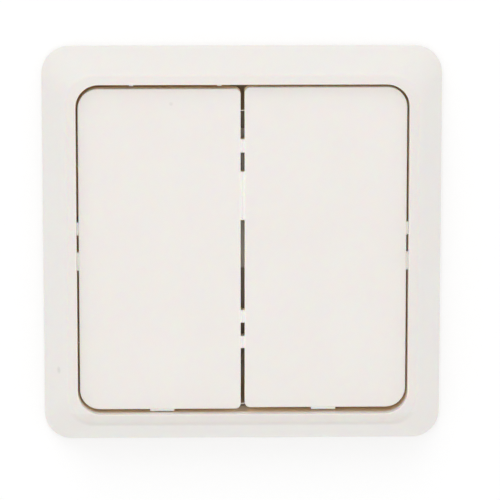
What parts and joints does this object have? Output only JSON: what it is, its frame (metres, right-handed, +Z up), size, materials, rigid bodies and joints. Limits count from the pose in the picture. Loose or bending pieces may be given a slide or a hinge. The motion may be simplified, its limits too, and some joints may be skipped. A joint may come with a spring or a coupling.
{
  "type": "push button light switch",
  "caption": "Flush wall light switch: tall push buttons side by side in a square bevelled frame, with steel ring, spreader claws and a base holding contacts and screwless terminals.",
  "frame": {"origin": "centre of the square cover frame on the wall plane, midway between the box screw slots, at the back face of the support ring", "axes": "+X to the right seen from the front, +Z up, -Y out of the wall towards the user, +Y into the wall box"},
  "size_m": [0.08, 0.0319, 0.08],
  "materials": {
    "frame_plastic": "satin moulded thermoplastic, warm white",
    "button_plastic": "satin moulded thermoplastic, warm white",
    "carrier_plastic": "plain moulded polyamide, off white",
    "insert_plastic": "moulded thermoset, grey brown",
    "base_plastic": "moulded thermoset, light grey",
    "plunger_plastic": "moulded acetal, natural white",
    "lever_plastic": "moulded polyamide, orange",
    "zinc_steel": "zinc plated sheet steel",
    "screw_steel": "zinc plated steel",
    "spring_steel": "bright spring steel",
    "copper": "bare copper strip",
    "silver": "silver contact metal",
    "brass": "punched brass strip"
  },
  "bodies": {
    "base": {"cover_frame": "frame_plastic", "support_ring": "zinc_steel", "mechanism_plate": "insert_plastic", "base_housing": "base_plastic", "corner_screws": "screw_steel", "fixed_contacts": "silver", "common_terminal": "brass", "output_terminal_left": "brass", "output_terminal_right": "brass", "clamp_spring_left": "spring_steel", "clamp_spring_middle": "spring_steel", "clamp_spring_right": "spring_steel", "return_spring_left": "spring_steel", "return_spring_right": "spring_steel"},
    "button_left_set": {"button_left": "button_plastic", "carrier_left": "carrier_plastic"},
    "plunger_left_set": {"plunger_left": "plunger_plastic", "contact_bridge_left": "copper", "moving_contacts_left": "silver"},
    "claw_left_body": {"claw_left": "zinc_steel"},
    "claw_screw_left_body": {"claw_screw_left": "screw_steel"},
    "claw_nut_left_body": {"claw_nut_left": "screw_steel"},
    "button_right_set": {"button_right": "button_plastic", "carrier_right": "carrier_plastic"},
    "plunger_right_set": {"plunger_right": "plunger_plastic", "contact_bridge_right": "copper", "moving_contacts_right": "silver"},
    "claw_right_body": {"claw_right": "zinc_steel"},
    "claw_screw_right_body": {"claw_screw_right": "screw_steel"},
    "claw_nut_right_body": {"claw_nut_right": "screw_steel"},
    "release_lever_left_body": {"release_lever_left": "lever_plastic"},
    "release_lever_middle_body": {"release_lever_middle": "lever_plastic"},
    "release_lever_right_body": {"release_lever_right": "lever_plastic"}
  },
  "joints": [
    {"name": "button_left_press", "type": "hinge", "parent": "base", "child": "button_left_set", "pos_m": [-0.0138, -0.0036, 0], "axis": [1, 0, 0], "range_deg": [0, 4], "stiffness_Nm_per_rad": 0.6, "springref_deg": -2.86},
    {"name": "plunger_left_slide", "type": "slide", "parent": "base", "child": "plunger_left_set", "axis": [0, 1, 0], "range_m": [0, 0.0012], "deforming": ["return_spring_left"]},
    {"name": "claw_screw_left_turn", "type": "hinge", "parent": "base", "child": "claw_screw_left_body", "pos_m": [-0.0296, 0, 0], "axis": [0, 1, 0], "range_deg": [0, 880]},
    {"name": "claw_nut_left_slide", "type": "slide", "parent": "base", "child": "claw_nut_left_body", "axis": [0, -1, 0], "range_m": [0, 0.00119]},
    {"name": "claw_left_swing", "type": "hinge", "parent": "base", "child": "claw_left_body", "pos_m": [-0.0244, 0.0016, 0], "axis": [0, 0, 1], "range_deg": [0, 19]},
    {"name": "button_right_press", "type": "hinge", "parent": "base", "child": "button_right_set", "pos_m": [0.0138, -0.0036, 0], "axis": [1, 0, 0], "range_deg": [0, 4], "stiffness_Nm_per_rad": 0.6, "springref_deg": -2.86},
    {"name": "plunger_right_slide", "type": "slide", "parent": "base", "child": "plunger_right_set", "axis": [0, 1, 0], "range_m": [0, 0.0012], "deforming": ["return_spring_right"]},
    {"name": "claw_screw_right_turn", "type": "hinge", "parent": "base", "child": "claw_screw_right_body", "pos_m": [0.0296, 0, 0], "axis": [0, 1, 0], "range_deg": [0, 880]},
    {"name": "claw_nut_right_slide", "type": "slide", "parent": "base", "child": "claw_nut_right_body", "axis": [0, -1, 0], "range_m": [0, 0.00119]},
    {"name": "claw_right_swing", "type": "hinge", "parent": "base", "child": "claw_right_body", "pos_m": [0.0244, 0.0016, 0], "axis": [0, 0, -1], "range_deg": [0, 19]},
    {"name": "release_lever_left_slide", "type": "slide", "parent": "base", "child": "release_lever_left_body", "axis": [0, -1, 0], "range_m": [0, 0.0012], "stiffness_N_per_m": 900, "springref_m": -0.0004, "deforming": ["clamp_spring_left"]},
    {"name": "release_lever_middle_slide", "type": "slide", "parent": "base", "child": "release_lever_middle_body", "axis": [0, -1, 0], "range_m": [0, 0.0012], "stiffness_N_per_m": 900, "springref_m": -0.0004, "deforming": ["clamp_spring_middle"]},
    {"name": "release_lever_right_slide", "type": "slide", "parent": "base", "child": "release_lever_right_body", "axis": [0, -1, 0], "range_m": [0, 0.0012], "stiffness_N_per_m": 900, "springref_m": -0.0004, "deforming": ["clamp_spring_right"]}
  ],
  "couplings": [
    {"joint": "plunger_left_slide", "follows": "button_left_press", "m_per_rad": 0.01548},
    {"joint": "claw_screw_left_turn", "follows": "claw_nut_left_slide", "rad_per_m": 12566},
    {"joint": "claw_left_swing", "follows": "claw_nut_left_slide", "rad_per_m": 263.91},
    {"joint": "plunger_right_slide", "follows": "button_right_press", "m_per_rad": 0.01548},
    {"joint": "claw_screw_right_turn", "follows": "claw_nut_right_slide", "rad_per_m": 12566},
    {"joint": "claw_right_swing", "follows": "claw_nut_right_slide", "rad_per_m": 263.91}
  ]
}
